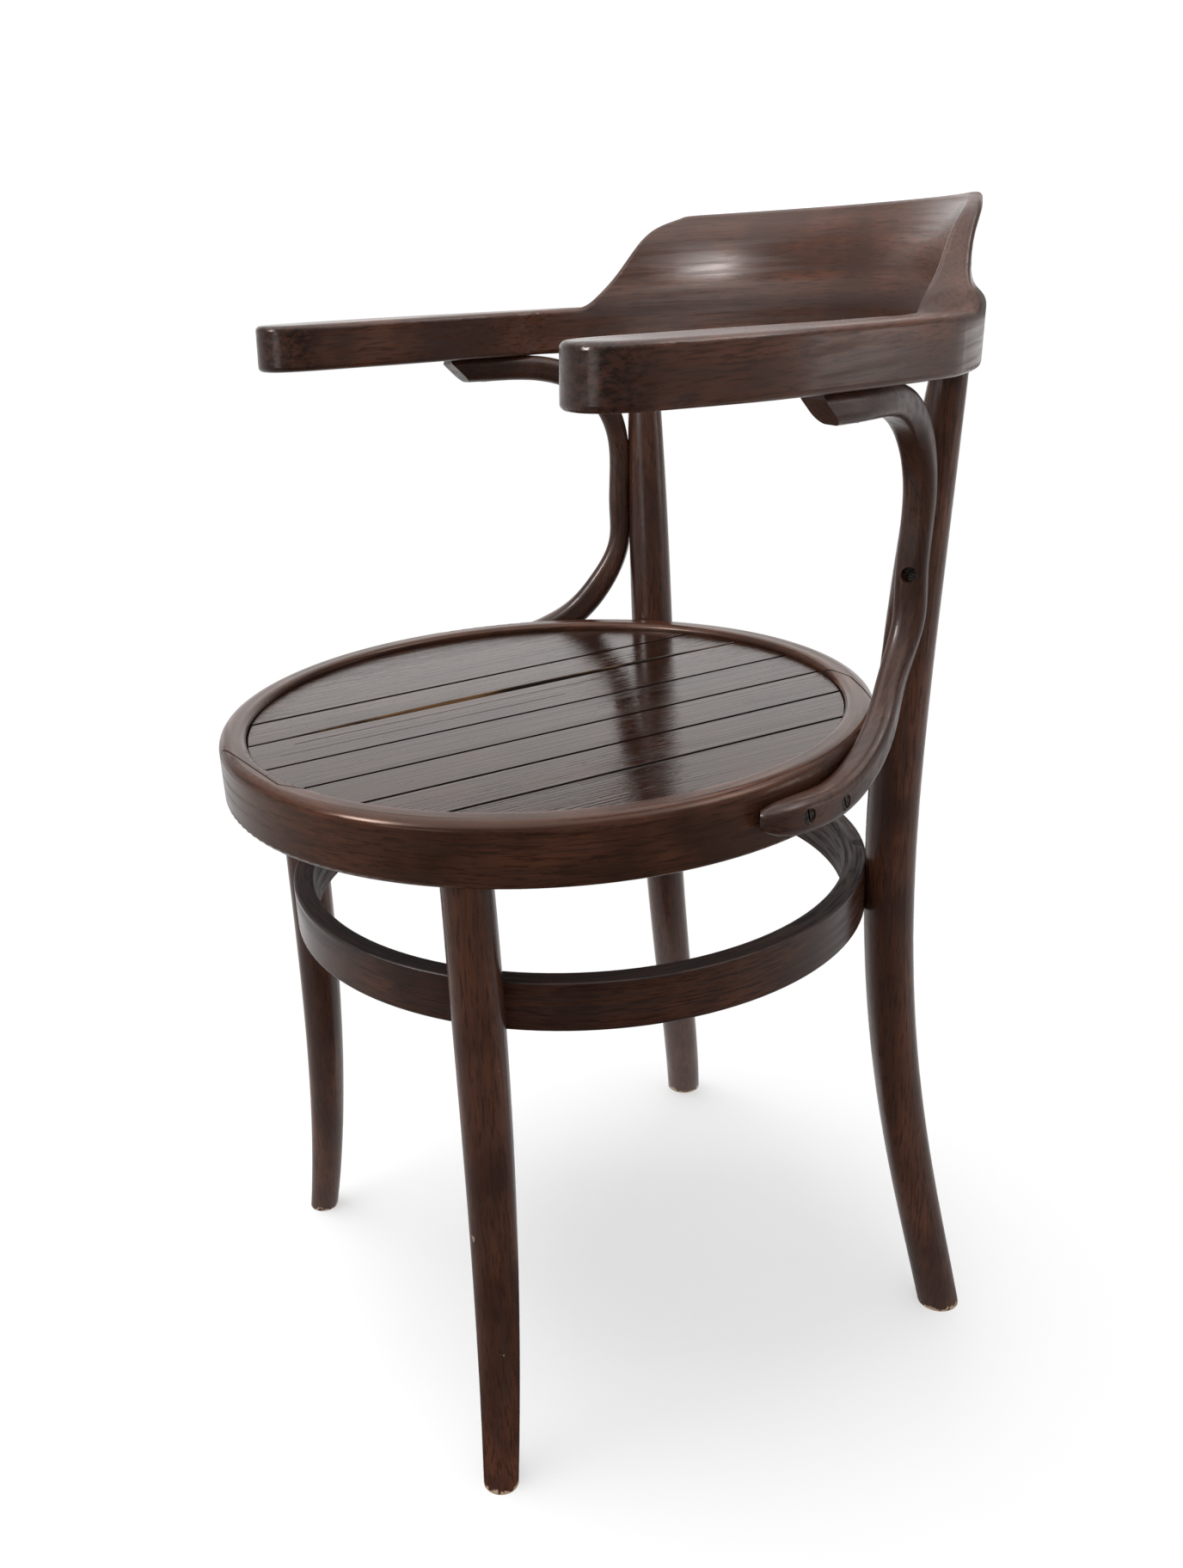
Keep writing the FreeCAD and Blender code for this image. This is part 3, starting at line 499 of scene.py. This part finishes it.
def build_floor():
    """Pale floor that glows: near the chair it is mixed with white emission, which lifts its shadows, and
    further out it is white emission only; in reflections it is a glow that is darker near the camera.
    """
    mesh = bpy.data.meshes.new("floor")
    corners = [(x * FLOOR_HALF, y * FLOOR_HALF, 0) for x, y in ((-1, -1), (1, -1), (1, 1), (-1, 1))]
    mesh.from_pydata(corners, [], [(0, 1, 2, 3)])
    floor = bpy.data.objects.new("floor", mesh)
    scene.collection.objects.link(floor)
    material, shader, surface = new_material("floor")
    spot = place(shader)
    grit = shader.noise(shader.scaled(spot, (30, 30, 30)), 4.0, 0.6)
    pale = shader.mix(grit, colour(0.90, 0.90, 0.90), colour(0.93, 0.93, 0.93))
    shader.feed(surface.inputs["Base Color"], pale)
    surface.inputs["Roughness"].default_value = 0.9
    surface.inputs["Specular IOR Level"].default_value = 0.0
    reach = shader.node("ShaderNodeVectorMath", operation="LENGTH")
    shader.feed(reach.inputs[0], spot)
    # White emission that brightens the floor and lifts its shadows round the chair
    white = shader.node("ShaderNodeEmission")
    fade = shader.node("ShaderNodeMixShader")
    shader.feed(fade.inputs[0], shader.span(reach.outputs["Value"], 0.16, 0.46, 0.38, 1.0))
    shader.feed(fade.inputs[1], surface.outputs[0])
    shader.feed(fade.inputs[2], white.outputs[0])
    direction = shader.node("ShaderNodeVectorMath", operation="NORMALIZE")
    shader.feed(direction.inputs[0], spot)
    glow = shader.node("ShaderNodeEmission")
    towards = shader.dot(direction.outputs[0], TO_CAMERA)
    shader.feed(glow.inputs["Strength"], shader.span(towards, -1.0, 0.9, 0.95, 0.02, smooth=False))
    choice = shader.node("ShaderNodeMixShader")
    shader.feed(choice.inputs[0], shader.node("ShaderNodeLightPath").outputs["Is Glossy Ray"])
    shader.feed(choice.inputs[1], fade.outputs[0])
    shader.feed(choice.inputs[2], glow.outputs[0])
    output = next(node for node in shader.tree.nodes if node.type == "OUTPUT_MATERIAL")
    shader.feed(output.inputs["Surface"], choice.outputs[0])
    mesh.materials.append(material)


def build_world():
    """White to the camera, an even dome as soft light, and a bright backdrop and ceiling in reflections."""
    world = bpy.data.worlds.new("studio")
    scene.world = world
    world.use_nodes = True
    shader = Shader(world.node_tree)
    background = world.node_tree.nodes["Background"]
    direction = shader.node("ShaderNodeTexCoord").outputs["Generated"]
    towards = shader.dot(direction, TO_CAMERA)
    backdrop = shader.span(towards, -0.98, -0.62, 0.80, 0.0)
    walls = shader.span(towards, -0.7, 0.75, 0.40, 0.20)
    _, _, height = shader.split(direction)
    ceiling = shader.span(height, 0.45, 0.85, 0.0, 1.6)
    mirrored = shader.math("ADD", shader.math("ADD", backdrop, walls), ceiling)
    path = shader.node("ShaderNodeLightPath")
    soft = path.outputs["Is Diffuse Ray"]
    hard = shader.math("MULTIPLY", mirrored, shader.math("SUBTRACT", 1.0, soft))
    strength = shader.math("MAXIMUM", shader.plus(hard, soft, DOME), path.outputs["Is Camera Ray"])
    shader.feed(background.inputs["Strength"], strength)
    background.inputs["Color"].default_value = colour(1, 1, 1)


def soft_light(name, position, target, size, power, mirrored=True):
    """Area light that is either a reflection in the varnish or soft light without one."""
    data = bpy.data.lights.new(name, "AREA")
    data.shape = "RECTANGLE"
    data.size, data.size_y = size
    data.energy = power
    light = bpy.data.objects.new(name, data)
    scene.collection.objects.link(light)
    aim = Vector(target) - Vector(position)
    light.matrix_world = Matrix.Translation(position) @ aim.to_track_quat("-Z", "Y").to_matrix().to_4x4()
    light.visible_camera = False
    light.visible_diffuse = not mirrored
    light.visible_glossy = mirrored


build_floor()
build_world()
soft_light("key", (0.02, -2.2, 1.62), target=(-0.10, 0.19, 0.72), size=(0.6, 0.6), power=34)
soft_light("side", (1.40, 2.20, 0.62), target=(0.24, 0.0, 0.69), size=(0.5, 0.6), power=1.7)
soft_light("rim", (1.38, 1.41, 2.36), target=(0.24, -0.05, 0.69), size=(1.2, 0.8), power=12.0)
soft_light("arm_end", (0.88, -2.22, 0.66), target=(0.24, -0.116, 0.69), size=(1.0, 0.4), power=2.0)
soft_light("fill", (-0.25, -0.45, 2.40), target=(0.0, 0.0, 0.3), size=(1.6, 1.6), power=46, mirrored=False)
scene.view_settings.view_transform = "Standard"
